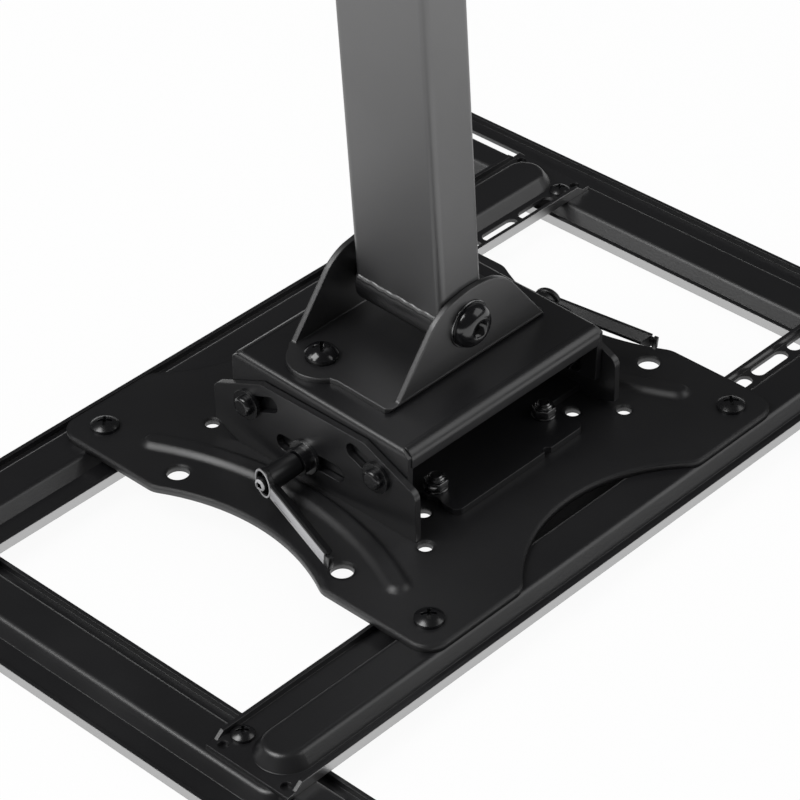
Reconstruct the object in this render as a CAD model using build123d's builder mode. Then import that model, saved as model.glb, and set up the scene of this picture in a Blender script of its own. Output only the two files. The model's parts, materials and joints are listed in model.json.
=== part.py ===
from build123d import *
from math import asin, atan2, cos, degrees, hypot, pi, sin, sqrt, tan
import os

# Tilting pole mount for a flat screen. Millimetres, +Z up, origin on the floor under
# the middle of the screen plate. X runs along the tilt rails, Y along the upright bars.

# Formed channel shared by the two bars and the two rails
channel_sheet = 1.5
channel_width = 35.5
channel_height = 6.4
channel_wall = 3.8
rib_start = 4.5
rib_width = 21.0
rib_flank = 3.5
rib_soft = 2.6
wall_end_gap = 3.5
wall_end_slant = 3.0
relief_radius = 1.8
relief_inset = 4.2

# Slots: three near the rear end of each bar's inner edge, one at each end of a rail
bar_slot_length = 18.0
bar_slot_width = 5.4
bar_slot_pitch = 20.3
bar_slot_edge = 4.8
bar_slots = 3
bar_slot_middle = 113.3
rail_slot_length = 44.0
rail_slot_width = 6.0
rail_slot_edge = 10.0
rail_slot_middle = 119.0

# Layout of bars and rails
bar_length = 317.0
bar_centre = 77.0
rail_length = 320.0
rail_overhang = 15.0
bar_rib_inset = 4.0
rail_rib_inset = 9.0
rail_tail_width = 17.5
rail_tail_gap = 3.0
end_screw_edge = 5.6
end_screw_inset = 10.0

# Screen plate
plate_sheet = 2.5
plate_x = 174.8
plate_y = 176.0
plate_corner = 8.0
side_scallop_radius = 60.0
side_scallop_depth = 19.2
end_scallop_radius = 81.0
end_scallop_depth = 10.3
scallop_blend = 9.0
vesa_large = 100.0
vesa_small = 75.0
vesa_hole = 2.7
big_hole = 4.0
big_hole_x = 38.5
big_hole_y = 77.0
tip_screw_x = 76.0
tip_screw_y = 76.0
arch_mid = 57.0
arch_radius = 127.0
arch_reach = 57.0
arch_width = 9.0
arch_flank = 2.0
arch_height = 1.6

# Tilt cradle
cradle_sheet = 2.5
cradle_half_x = 47.7
cradle_flange_half = 46.8
cradle_outer_y = 51.0
cradle_side_y = 32.0
cradle_neck = 31.0
cradle_notch = 6.5
flange_top = 29.6
flange_shoulder = 19.5
flange_flat_half = 24.0
front_cut_length = 10.8
front_cut_height = 5.0
rear_cut_length = 7.0
rear_cut_height = 2.8
flange_corner = 4.0
cradle_corner = 3.0
cradle_bolt_x = 33.5
cradle_bolt_y = 27.0
edge_nick_y = 13.0
edge_nick = 1.6

# Tilt mechanism, heights above the screen plate
tilt_height = 10.5
tilt_limit = 8.0
rest_tilt = 2.1
rest_swing = 5.0
stud_x = -3.2
stud_radius = 3.0
stud_slot_middle = -1.3
stud_slot_travel = 25.2
guide_x = 30.0
guide_height = 19.0
guide_radius = 2.9
guide_slot_run = 11.0
guide_slot_rise = 4.5
slot_clearance = 0.1
running_clearance = 0.05
side_clearance = 0.3

# Tilt channel, heights above the screen plate before it is tilted
head_top = 33.8
head_sheet = 2.5
head_half_x = 39.5
head_flange_half = 40.5
head_lip_depth = 8.2
head_lip_half = 41.0
head_lip_bend = 3.5
head_bend = 2.4
head_relief = 0.9
head_keel_half = 12.0
head_keel = 5.5
head_wing = 12.0

# Yoke
yoke_sheet = 3.5
yoke_length = 71.0
yoke_lobe = 11.0
yoke_lobe_y = 33.0
yoke_lobe_blend = 9.0
yoke_bolt_x = 14.3
yoke_bolt_y = 32.0
yoke_bend = 2.5
pivot_height = 14.0
ear_radius = 15.0

# Pole
pole_x = 40.0
pole_y = 20.0
pole_wall = 2.0
pole_corner = 2.5
pole_length = 190.0
pole_lift = 5.5
barrel_radius = 10.0
pivot_radius = 5.0

# Clamping levers, distances outwards from the cradle flange
lever_droop = 8.4
lever_rake = 16.5
lever_length = 44.0
lever_washer = 1.5
lever_washer_radius = 6.4
collar_radius = 4.9
collar_length = 3.5
hub_small = 4.0
hub_large = 4.7
hub_length = 14.9
eye_radius = 5.3
eye_thickness = 2.0
eye_recess_radius = 4.0
eye_recess_depth = 4.0
arm_root = 2.8
arm_tip = 2.6
arm_thickness = 4.1
arm_nose = 1.2
spindle_radius = 2.3
spindle_thread = 1.3
spindle_thread_depth = 7.0
pull_travel = 3.5
lever_head_radius = 2.6
lever_head_height = 2.2
lever_socket = 2.6
stud_nut_size = 10.0
stud_nut_height = 5.0
stud_end = 1.0

# Fasteners
m5 = 2.4
m6 = 2.9
screw_tip = 1.5
pan_radius = 5.0
pan_height = 3.0
end_head_radius = 3.9
end_head_height = 2.6
dome_radius = 5.7
dome_height = 4.6
button_radius = 8.75
button_height = 5.5
button_socket = 6.0
pivot_washer_radius = 10.2
pivot_washer_sheet = 2.0
pivot_nut_size = 16.0
pivot_nut_height = 8.4
pivot_end = 1.5
yoke_nut_size = 10.0
yoke_nut_height = 5.0
yoke_bolt_end = 1.0
cradle_washer_radius = 4.8
cradle_washer = 0.9
cradle_nut_size = 8.0
cradle_nut = 3.6
cradle_bolt_end = 1.0
guide_washer_radius = 5.6
guide_washer = 1.5
guide_nut_size = 10.0
guide_nut = 5.0
guide_end = 0.5
guide_head = 2.4
guide_head_lip = 0.8
guide_head_round = 1.4
thread_clearance = 0.02

# Levels and places that follow from the sizes above
rail_top = channel_height
bar_top = rail_top + channel_height
plate_top = bar_top + plate_sheet
cradle_floor = plate_top + cradle_sheet
tilt_z = plate_top + tilt_height
guide_z = plate_top + guide_height
channel_top_z = plate_top + head_top
yoke_floor = channel_top_z + yoke_sheet
pivot_z = yoke_floor + pivot_height
rail_centre = bar_length / 2 + rail_overhang - channel_width / 2
cradle_inner_y = cradle_outer_y - cradle_sheet
head_outer_y = cradle_inner_y - side_clearance
head_inner_y = head_outer_y - head_sheet
ear_inner = pole_x / 2 + side_clearance
ear_outer = ear_inner + yoke_sheet
end_screw_x = bar_centre - channel_width / 2 + end_screw_edge
end_screw_y = rail_centre - channel_width / 2 + end_screw_inset
tilt_axis = Axis((stud_x, 0, tilt_z), (0, 1, 0))
pivot_axis = Axis((0, 0, pivot_z), (1, 0, 0))


def stadium_rib(start, end, foot, width, flank, height, sheet, level):
    """Raised hollow rib with round ends, drawn along Y over a floor at the given level."""
    middle = (foot, (start + end) / 2)
    outer_low = Plane.XY.offset(level)
    outer_high = Plane.XY.offset(level + height)
    inner_low = Plane.XY.offset(level - sheet)
    inner_high = Plane.XY.offset(level + height - sheet)
    length = end - start
    with BuildPart() as skin:
        with BuildSketch(outer_low):
            with Locations(middle):
                SlotOverall(length, width, rotation=90)
        with BuildSketch(outer_high):
            with Locations(middle):
                SlotOverall(length - 2 * flank, width - 2 * flank, rotation=90)
        loft()
        fillet(skin.edges().group_by(Axis.Z)[-1], rib_soft)
    with BuildPart() as hollow:
        with BuildSketch(inner_low):
            with Locations(middle):
                SlotOverall(length - 2 * sheet, width - 2 * sheet, rotation=90)
        with BuildSketch(inner_high):
            with Locations(middle):
                SlotOverall(length - 2 * flank - 2 * sheet, width - 2 * flank - 2 * sheet, rotation=90)
        loft()
    return skin.part, hollow.part


def formed_channel(length, ribs, screw_x, screw_y):
    """One channel along Y: plain wall at +X, slotted edge at -X, underside at zero."""
    half = channel_width / 2
    inner = half - channel_sheet
    rib_height = channel_height - channel_sheet
    shells = [
        stadium_rib(
            -reach, reach, half - rib_start - width / 2, width, rib_flank, rib_height, channel_sheet, channel_sheet
        )
        for reach, width in ribs
    ]
    wall_end = length / 2 - wall_end_gap
    with BuildPart() as channel:
        with BuildSketch(Plane.XY):
            Rectangle(channel_width, length)
            with GridLocations(channel_width - 2 * relief_inset, length - 2 * wall_end_gap, 2, 2):
                Circle(relief_radius, mode=Mode.SUBTRACT)
        extrude(amount=channel_sheet)
        for skin, hollow in shells:
            add(skin)
        for skin, hollow in shells:
            add(hollow, mode=Mode.SUBTRACT)
        with BuildSketch(Plane.YZ.offset(inner)):
            Polygon(
                (-wall_end, channel_sheet),
                (wall_end, channel_sheet),
                (wall_end - wall_end_slant, channel_wall),
                (wall_end_slant - wall_end, channel_wall),
                align=None,
            )
        extrude(amount=channel_sheet)
        with BuildSketch(Plane.YZ.offset(-half)):
            Polygon(
                (-wall_end, channel_sheet),
                (wall_end, channel_sheet),
                (wall_end - wall_end_slant, channel_wall),
                (wall_end_slant - wall_end, channel_wall),
                align=None,
            )
        extrude(amount=channel_sheet)
        with BuildSketch(Plane.XY):
            with GridLocations(2 * screw_x, 2 * screw_y, 1, 2):
                with Locations((screw_x, 0)):
                    Circle(m5 + slot_clearance)
        extrude(amount=channel_height, mode=Mode.SUBTRACT)
    return channel.part


def hex_nut(across_flats, height, bore):
    """Hexagon nut standing on the XY plane, its top corners turned down."""
    corner = across_flats / 2 / cos(pi / 6)
    turned = across_flats * 0.47
    with BuildPart() as nut:
        with BuildSketch(Plane.XY):
            RegularPolygon(across_flats / 2, 6, major_radius=False)
            Circle(bore, mode=Mode.SUBTRACT)
        extrude(amount=height)
        with BuildSketch(Plane.XZ):
            Polygon(
                (0, 0),
                (corner, 0),
                (corner, height - (corner - turned) * tan(pi / 6)),
                (turned, height),
                (0, height),
                align=None,
            )
        revolve(axis=Axis.Z, mode=Mode.INTERSECT)
    return nut.part


def flat_washer(radius, sheet, bore):
    """Plain washer standing on the XY plane."""
    with BuildPart() as washer:
        with BuildSketch(Plane.XY):
            Circle(radius)
            Circle(bore, mode=Mode.SUBTRACT)
        extrude(amount=sheet)
    return washer.part


def cross_screw(radius, height, shank, length):
    """Domed head with a cross recess on the XY plane, its shank pointing down."""
    edge = height * 0.4
    ball = ((height - edge) ** 2 + radius**2) / (2 * (height - edge))
    crown = height - ball + sqrt(ball**2 - radius**2 / 4)
    recess = radius * 0.52
    web = radius * 0.11
    with BuildPart() as screw:
        with BuildSketch(Plane.XZ):
            with BuildLine():
                Line((0, -length), (shank, -length))
                Line((shank, -length), (shank, 0))
                Line((shank, 0), (radius, 0))
                Line((radius, 0), (radius, edge))
                ThreePointArc((radius, edge), (radius / 2, crown), (0, height))
                Line((0, height), (0, -length))
            make_face()
        revolve(axis=Axis.Z)
        with BuildSketch(Plane.XY.offset(height * 0.4)):
            Rectangle(2 * recess, 2 * web, rotation=45)
            Rectangle(2 * web, 2 * recess, rotation=45)
        extrude(amount=height, mode=Mode.SUBTRACT)
    return screw.part


def hex_socket_screw(radius, height, shank, length, socket):
    """Button head with a hexagon socket on the XY plane, its shank pointing down."""
    edge = height * 0.22
    with BuildPart() as screw:
        with BuildSketch(Plane.XZ):
            with BuildLine():
                Line((0, -length), (shank, -length))
                Line((shank, -length), (shank, 0))
                Line((shank, 0), (radius, 0))
                Line((radius, 0), (radius, edge))
                ThreePointArc((radius, edge), (radius * 0.84, height * 0.72), (radius * 0.5, height))
                Line((radius * 0.5, height), (0, height))
                Line((0, height), (0, -length))
            make_face()
        revolve(axis=Axis.Z)
        with BuildSketch(Plane.XY.offset(height)):
            RegularPolygon(socket / 2, 6, major_radius=False)
        extrude(amount=-height * 0.65, mode=Mode.SUBTRACT)
    return screw.part


# Bars and rails
bar_rib_end = bar_length / 2 - bar_rib_inset
rail_rib_end = rail_length / 2 - rail_rib_inset
wide_rib_end = rail_slot_middle - rail_slot_length / 2 - rail_tail_gap
bar_channel = formed_channel(
    bar_length, [(bar_rib_end, rib_width)], end_screw_x - bar_centre, end_screw_y
)
rail_channel = formed_channel(
    rail_length,
    [(wide_rib_end, rib_width), (rail_rib_end, rail_tail_width)],
    rail_centre - end_screw_y,
    end_screw_x,
)

with BuildPart() as right_bar:
    with Locations((bar_centre, 0, rail_top)):
        add(bar_channel)
    with BuildSketch(Plane.XY.offset(rail_top)):
        with GridLocations(2 * tip_screw_x, 2 * tip_screw_y, 2, 2):
            Circle(m5 + slot_clearance)
        with Locations((bar_centre - channel_width / 2 + bar_slot_edge, bar_slot_middle)):
            with GridLocations(bar_slot_pitch, bar_slot_pitch, 1, bar_slots):
                SlotOverall(bar_slot_length, bar_slot_width, rotation=90)
    extrude(amount=channel_height, mode=Mode.SUBTRACT)

with BuildPart() as left_bar:
    add(right_bar.part.mirror(Plane.YZ))

with BuildPart() as front_rail:
    with Locations(Location((0, -rail_centre, 0), (0, 0, 90))):
        add(rail_channel)
    with BuildSketch(Plane.XY):
        with Locations((0, rail_slot_edge - channel_width / 2 - rail_centre)):
            with GridLocations(2 * rail_slot_middle, rail_slot_edge, 2, 1):
                SlotOverall(rail_slot_length, rail_slot_width)
    extrude(amount=channel_sheet, mode=Mode.SUBTRACT)

with BuildPart() as rear_rail:
    add(front_rail.part.mirror(Plane.XZ))


# Screen plate with four scalloped sides, two arched stiffening ribs and its hole patterns
def arched_rib(width, level, height, flank):
    """Solid arched rib over the front half of the plate, its foot at the given level."""
    sweep_angle = 2 * degrees(asin(arch_reach / arch_radius))
    centre = (0, -arch_mid - arch_radius)
    with BuildPart() as rib:
        with BuildSketch(Plane.XY.offset(level)):
            SlotArc(CenterArc(centre, arch_radius, 90 - sweep_angle / 2, sweep_angle), width)
        with BuildSketch(Plane.XY.offset(level + height)):
            SlotArc(CenterArc(centre, arch_radius, 90 - sweep_angle / 2, sweep_angle), width - 2 * flank)
        loft()
    return rib.part


arch_skin = arched_rib(arch_width, plate_top, arch_height, arch_flank)
arch_hollow = arched_rib(arch_width - 2 * arch_flank / 2, bar_top, arch_height, arch_flank)

with BuildPart() as vesa_plate:
    with BuildSketch(Plane.XY.offset(bar_top)) as plate_outline:
        Rectangle(plate_x, plate_y)
        with GridLocations(plate_x - 2 * side_scallop_depth + 2 * side_scallop_radius, 0, 2, 1):
            Circle(side_scallop_radius, mode=Mode.SUBTRACT)
        with GridLocations(0, plate_y - 2 * end_scallop_depth + 2 * end_scallop_radius, 1, 2):
            Circle(end_scallop_radius, mode=Mode.SUBTRACT)
        fillet(plate_outline.vertices(), plate_corner)
        with GridLocations(vesa_large, vesa_large, 2, 2):
            Circle(vesa_hole, mode=Mode.SUBTRACT)
        with GridLocations(vesa_small, vesa_small, 2, 2):
            Circle(vesa_hole, mode=Mode.SUBTRACT)
        with GridLocations(2 * big_hole_x, 2 * big_hole_y, 2, 2):
            Circle(big_hole, mode=Mode.SUBTRACT)
        with GridLocations(2 * tip_screw_x, 2 * tip_screw_y, 2, 2):
            Circle(m5 + slot_clearance, mode=Mode.SUBTRACT)
        with GridLocations(2 * cradle_bolt_x, 2 * cradle_bolt_y, 2, 2):
            Circle(m5 + slot_clearance, mode=Mode.SUBTRACT)
    extrude(amount=plate_sheet)
    add(arch_skin)
    add(arch_skin.rotate(Axis.Z, 180))
    add(arch_hollow, mode=Mode.SUBTRACT)
    add(arch_hollow.rotate(Axis.Z, 180), mode=Mode.SUBTRACT)

# Tilt cradle: a base with notches round the inner screw holes and two slotted flanges
def slotted_flange(slot_middle, cut_length, cut_height):
    """Flange at the front with the chamfer of its lower edge at +X."""
    slot_run = hypot(guide_slot_run, guide_slot_rise)
    slot_lean = degrees(atan2(guide_slot_rise, guide_slot_run))
    with BuildPart() as flange:
        with BuildSketch(Plane.XZ.offset(cradle_inner_y)) as flange_face:
            Polygon(
                (-cradle_flange_half, plate_top),
                (cradle_flange_half - cut_length, plate_top),
                (cradle_flange_half, plate_top + cut_height),
                (cradle_flange_half, plate_top + flange_shoulder),
                (flange_flat_half, plate_top + flange_top),
                (-flange_flat_half, plate_top + flange_top),
                (-cradle_flange_half, plate_top + flange_shoulder),
                align=None,
            )
            fillet(flange_face.vertices().group_by(Axis.Y)[-2], flange_corner)
            with Locations((slot_middle, tilt_z)):
                SlotCenterToCenter(stud_slot_travel, 2 * (stud_radius + slot_clearance), mode=Mode.SUBTRACT)
            for side in (-1, 1):
                with Locations((side * (guide_x - guide_slot_run / 2), guide_z + guide_slot_rise / 2)):
                    SlotCenterToCenter(
                        slot_run,
                        2 * (guide_radius + slot_clearance),
                        rotation=-side * slot_lean,
                        mode=Mode.SUBTRACT,
                    )
        extrude(amount=cradle_sheet)
    return flange.part


front_flange = slotted_flange(-stud_slot_middle, front_cut_length, front_cut_height)
rear_flange = slotted_flange(stud_slot_middle, rear_cut_length, rear_cut_height)

with BuildPart() as tilt_cradle:
    with BuildSketch(Plane.XY.offset(plate_top)) as cradle_plan:
        Rectangle(2 * cradle_half_x, 2 * cradle_side_y)
        Rectangle(2 * cradle_neck, 2 * cradle_inner_y)
        with GridLocations(vesa_small, vesa_small, 2, 2):
            Circle(cradle_notch, mode=Mode.SUBTRACT)
        fillet(cradle_plan.vertices().group_by(Axis.X)[0], cradle_corner)
        fillet(cradle_plan.vertices().group_by(Axis.X)[-1], cradle_corner)
        with GridLocations(2 * cradle_bolt_x, 2 * cradle_bolt_y, 2, 2):
            Circle(m5 + slot_clearance, mode=Mode.SUBTRACT)
        with Locations((cradle_half_x, edge_nick_y), (-cradle_half_x, -edge_nick_y)):
            Circle(edge_nick, mode=Mode.SUBTRACT)
    extrude(amount=cradle_sheet)
    add(front_flange.mirror(Plane.YZ))
    add(rear_flange.mirror(Plane.XZ))

# Tilt channel, drawn level: a top with deep front and back flanges and short side lips
guide_rise = guide_height - tilt_height
slot_angle = tilt_limit + 0.4
guide_arcs = [
    CenterArc(
        (stud_x, tilt_z),
        hypot(x - stud_x, guide_rise),
        degrees(atan2(guide_rise, x - stud_x)) - slot_angle,
        2 * slot_angle,
    )
    for x in (guide_x, -guide_x)
]

flange_drop = head_top - head_keel

with BuildPart() as tilt_channel:
    with BuildSketch(Plane.YZ) as channel_section:
        with Locations((0, channel_top_z - flange_drop / 2)):
            Rectangle(2 * head_outer_y, flange_drop)
        fillet(channel_section.vertices().group_by(Axis.Z)[-1], head_bend)
        with Locations((0, channel_top_z - head_sheet - flange_drop / 2)):
            Rectangle(2 * head_inner_y, flange_drop, mode=Mode.SUBTRACT)
    extrude(amount=head_flange_half, both=True)
    with BuildSketch(Plane.XZ):
        Polygon(
            (-head_keel_half, plate_top + head_keel),
            (head_keel_half, plate_top + head_keel),
            (head_flange_half, plate_top + head_wing),
            (head_flange_half, channel_top_z - head_bend),
            (head_half_x - head_bend, channel_top_z),
            (head_bend - head_half_x, channel_top_z),
            (-head_flange_half, channel_top_z - head_bend),
            (-head_flange_half, plate_top + head_wing),
            align=None,
        )
    extrude(amount=head_outer_y, both=True, mode=Mode.INTERSECT)
    with BuildSketch(Plane.XZ) as lip_section:
        with Locations((0, channel_top_z - head_lip_depth / 2)):
            Rectangle(2 * head_half_x, head_lip_depth)
        fillet(lip_section.vertices().group_by(Axis.Z)[-1], head_lip_bend)
        with Locations((0, channel_top_z - head_sheet - head_lip_depth / 2)):
            Rectangle(2 * (head_half_x - head_sheet), head_lip_depth, mode=Mode.SUBTRACT)
    extrude(amount=head_lip_half, both=True)
    with BuildSketch(Plane.XZ):
        with Locations((stud_x, tilt_z)):
            Circle(stud_radius + running_clearance)
        for arc in guide_arcs:
            SlotArc(arc, 2 * (guide_radius + slot_clearance))
    extrude(amount=head_outer_y, both=True, mode=Mode.SUBTRACT)
    with BuildSketch(Plane.XY.offset(channel_top_z)):
        with GridLocations(2 * head_half_x - head_bend, 2 * (head_lip_half + head_relief), 2, 2):
            Circle(head_relief)
        with Locations((-yoke_bolt_x, -yoke_bolt_y), (yoke_bolt_x, yoke_bolt_y)):
            Circle(m6 + slot_clearance)
    extrude(amount=-head_lip_depth, mode=Mode.SUBTRACT)
tilt_channel.part = tilt_channel.part.rotate(tilt_axis, rest_tilt)

# Yoke, drawn level: a base with two bolt lobes and two rounded ears
with BuildPart() as yoke_bracket:
    with BuildSketch(Plane.XY.offset(channel_top_z)) as yoke_plan:
        Rectangle(2 * ear_outer, yoke_length)
        with Locations((yoke_lobe - ear_outer, -yoke_lobe_y), (ear_outer - yoke_lobe, yoke_lobe_y)):
            Circle(yoke_lobe)
        front_edge = yoke_plan.vertices().filter_by_position(Axis.X, -5, 0)
        rear_edge = yoke_plan.vertices().filter_by_position(Axis.X, 0, 5)
        fillet(front_edge + rear_edge, yoke_lobe_blend)
        with Locations((-yoke_bolt_x, -yoke_bolt_y), (yoke_bolt_x, yoke_bolt_y)):
            Circle(m6 + slot_clearance, mode=Mode.SUBTRACT)
    extrude(amount=yoke_sheet)
    with BuildSketch(Plane.YZ.offset(ear_inner)):
        with Locations((0, channel_top_z + yoke_sheet / 2)):
            Rectangle(yoke_length, yoke_sheet)
        with Locations((0, pivot_z)):
            Circle(ear_radius)
        make_hull()
        with Locations((0, pivot_z)):
            Circle(pivot_radius + running_clearance, mode=Mode.SUBTRACT)
    extrude(amount=yoke_sheet)
    with BuildSketch(Plane.YZ.offset(-ear_outer)):
        with Locations((0, channel_top_z + yoke_sheet / 2)):
            Rectangle(yoke_length, yoke_sheet)
        with Locations((0, pivot_z)):
            Circle(ear_radius)
        make_hull()
        with Locations((0, pivot_z)):
            Circle(pivot_radius + running_clearance, mode=Mode.SUBTRACT)
    extrude(amount=yoke_sheet)
yoke_bracket.part = yoke_bracket.part.rotate(tilt_axis, rest_tilt)

# Pole: a rectangular tube coped over the pivot barrel that turns on the yoke bolt
with BuildPart() as pivot_barrel:
    with BuildSketch(Plane.YZ.offset(-pole_x / 2)):
        with Locations((0, pivot_z)):
            Circle(barrel_radius)
            Circle(pivot_radius + running_clearance, mode=Mode.SUBTRACT)
    extrude(amount=pole_x)

with BuildPart() as pole_tube:
    with BuildSketch(Plane.XY.offset(pivot_z + pole_lift)):
        RectangleRounded(pole_x, pole_y, pole_corner)
        RectangleRounded(
            pole_x - 2 * pole_wall, pole_y - 2 * pole_wall, pole_corner - pole_wall / 2, mode=Mode.SUBTRACT
        )
    extrude(amount=pole_length)
    with BuildSketch(Plane.YZ.offset(-pole_x / 2)):
        with Locations((0, pivot_z)):
            Circle(barrel_radius)
    extrude(amount=pole_x, mode=Mode.SUBTRACT)

for pole_piece in (pivot_barrel, pole_tube):
    upright = pole_piece.part
    pole_piece.part = upright.rotate(pivot_axis, rest_swing).rotate(tilt_axis, rest_tilt)

# Yoke fasteners, drawn level and tilted with the head
pivot_face = Plane((ear_outer + pivot_washer_sheet, 0, pivot_z), x_dir=(0, 1, 0), z_dir=(1, 0, 0))
washer_right = Plane((ear_outer, 0, pivot_z), x_dir=(0, 1, 0), z_dir=(1, 0, 0))
washer_left = Plane((-ear_outer, 0, pivot_z), x_dir=(0, -1, 0), z_dir=(-1, 0, 0))
nut_left = Plane(
    (-ear_outer - pivot_washer_sheet, 0, pivot_z), x_dir=(0, -1, 0), z_dir=(-1, 0, 0)
)
pivot_shank = 2 * (ear_outer + pivot_washer_sheet) + pivot_nut_height + pivot_end

with BuildPart() as pivot_bolt:
    with Locations(pivot_face):
        add(hex_socket_screw(button_radius, button_height, pivot_radius, pivot_shank, button_socket))

with BuildPart() as pivot_washers:
    with Locations(washer_right, washer_left):
        add(flat_washer(pivot_washer_radius, pivot_washer_sheet, pivot_radius + running_clearance))

with BuildPart() as pivot_nut:
    with Locations(nut_left):
        add(hex_nut(pivot_nut_size, pivot_nut_height, pivot_radius + thread_clearance))

yoke_shank = yoke_sheet + head_sheet + yoke_nut_height + yoke_bolt_end
yoke_nut_z = channel_top_z - head_sheet - yoke_nut_height

with BuildPart() as yoke_bolts:
    with Locations((-yoke_bolt_x, -yoke_bolt_y, yoke_floor), (yoke_bolt_x, yoke_bolt_y, yoke_floor)):
        add(cross_screw(dome_radius, dome_height, m6, yoke_shank))

with BuildPart() as yoke_nuts:
    with Locations((-yoke_bolt_x, -yoke_bolt_y, yoke_nut_z), (yoke_bolt_x, yoke_bolt_y, yoke_nut_z)):
        add(hex_nut(yoke_nut_size, yoke_nut_height, m6 + thread_clearance))

for head_piece in (pivot_bolt, pivot_washers, pivot_nut, yoke_bolts, yoke_nuts):
    head_piece.part = head_piece.part.rotate(tilt_axis, rest_tilt)

# Screws that join plate to bars, bars to rails and cradle to plate
tip_places = [(x, y) for x in (-tip_screw_x, tip_screw_x) for y in (-tip_screw_y, tip_screw_y)]
end_places = [(x, y) for x in (-end_screw_x, end_screw_x) for y in (-end_screw_y, end_screw_y)]
bolt_places = [
    (x, y) for x in (-cradle_bolt_x, cradle_bolt_x) for y in (-cradle_bolt_y, cradle_bolt_y)
]

with BuildPart() as tip_screws:
    with Locations(*[(x, y, plate_top) for x, y in tip_places]):
        add(cross_screw(pan_radius, pan_height, m5, plate_sheet + channel_sheet + screw_tip))

with BuildPart() as rail_screws:
    with Locations(*[(x, y, rail_top + channel_sheet) for x, y in end_places]):
        add(cross_screw(end_head_radius, end_head_height, m5, 2 * channel_sheet + screw_tip))

stack = plate_sheet + cradle_sheet + cradle_washer + cradle_nut + cradle_bolt_end

with BuildPart() as cradle_bolts:
    with BuildSketch(Plane.XY.offset(bar_top)):
        with Locations(*bolt_places):
            Circle(pan_radius)
    extrude(amount=-pan_height)
    with BuildSketch(Plane.XY.offset(bar_top)):
        with Locations(*bolt_places):
            Circle(m5)
    extrude(amount=stack)
    fillet(cradle_bolts.edges().group_by(Axis.Z)[-1], cradle_bolt_end)

with BuildPart() as cradle_washers:
    with Locations(*[(x, y, cradle_floor) for x, y in bolt_places]):
        add(flat_washer(cradle_washer_radius, cradle_washer, m5 + slot_clearance))

with BuildPart() as cradle_nuts:
    with Locations(*[(x, y, cradle_floor + cradle_washer) for x, y in bolt_places]):
        add(hex_nut(cradle_nut_size, cradle_nut, m5 + thread_clearance))

# Guide pins: a riveted end outside each flange and a nut inside the tilt channel
guide_inner = head_inner_y - side_clearance
outside = cradle_outer_y + guide_washer

with BuildPart() as guide_pins:
    with BuildSketch(Plane.XZ.offset(guide_inner - guide_nut - guide_end)):
        with Locations((-guide_x, guide_z), (guide_x, guide_z)):
            Circle(guide_radius)
    extrude(amount=outside - guide_inner + guide_nut + guide_end)
    with BuildSketch(Plane.XZ.offset(outside)):
        with Locations((-guide_x, guide_z), (guide_x, guide_z)):
            Circle(guide_radius + guide_head_lip)
    extrude(amount=guide_head)
    fillet(guide_pins.edges().group_by(Axis.Y)[0], guide_head_round)
    mirror(about=Plane.XZ)

with BuildPart() as guide_washers:
    with BuildSketch(Plane.XZ.offset(cradle_outer_y)):
        with Locations((-guide_x, guide_z), (guide_x, guide_z)):
            Circle(guide_washer_radius)
            Circle(guide_radius + thread_clearance, mode=Mode.SUBTRACT)
    extrude(amount=guide_washer)
    mirror(about=Plane.XZ)

with BuildPart() as guide_nuts:
    with BuildSketch(Plane.XZ.offset(guide_inner - guide_nut)):
        with Locations((-guide_x, guide_z), (guide_x, guide_z)):
            RegularPolygon(guide_nut_size / 2, 6, major_radius=False)
            Circle(guide_radius + thread_clearance, mode=Mode.SUBTRACT)
    extrude(amount=guide_nut)
    mirror(about=Plane.XZ)

# Clamping lever at the front flange: washer, insert with stud, handle, end screw, welded nut
collar_start = cradle_outer_y + lever_washer
collar_end = collar_start + collar_length
hub_start = collar_end + side_clearance
eye_face = hub_start + hub_length
recess_floor = eye_face - eye_recess_depth
spindle_end = recess_floor + pull_travel + side_clearance
stud_start = head_inner_y - stud_nut_height - stud_end
lever_out = Vector(1, 0, 0).rotate(Axis.Y, lever_droop)


def lever_plane(distance):
    """Plane across the stud axis, its x along the lever's arm and its normal outwards."""
    return Plane((stud_x, -distance, tilt_z), x_dir=lever_out, z_dir=(0, -1, 0))


raked_out = lever_out * cos(lever_rake * pi / 180) - Vector(0, 1, 0) * sin(lever_rake * pi / 180)
raked_up = Vector(0, -1, 0) * cos(lever_rake * pi / 180) - lever_out * sin(lever_rake * pi / 180)
arm_plane = Plane((stud_x, -eye_face, tilt_z), x_dir=raked_out, z_dir=raked_up)

with BuildPart() as front_lever_washer:
    with BuildSketch(lever_plane(cradle_outer_y)):
        Circle(lever_washer_radius)
        Circle(stud_radius + slot_clearance, mode=Mode.SUBTRACT)
    extrude(amount=lever_washer)

with BuildPart() as front_lever_insert:
    with BuildSketch(lever_plane(stud_start)):
        Circle(stud_radius)
    extrude(amount=collar_start - stud_start)
    with BuildSketch(lever_plane(collar_start)):
        Circle(collar_radius)
    extrude(amount=collar_length)
    with BuildSketch(lever_plane(collar_end)):
        Circle(spindle_radius)
    extrude(amount=spindle_end - collar_end)
    with BuildSketch(lever_plane(spindle_end)):
        Circle(spindle_thread)
    extrude(amount=-spindle_thread_depth, mode=Mode.SUBTRACT)

with BuildPart() as front_lever_screw:
    with Locations(lever_plane(spindle_end)):
        add(
            hex_socket_screw(
                lever_head_radius,
                lever_head_height,
                spindle_thread - thread_clearance,
                spindle_thread_depth - 1.0,
                lever_socket,
            )
        )

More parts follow.
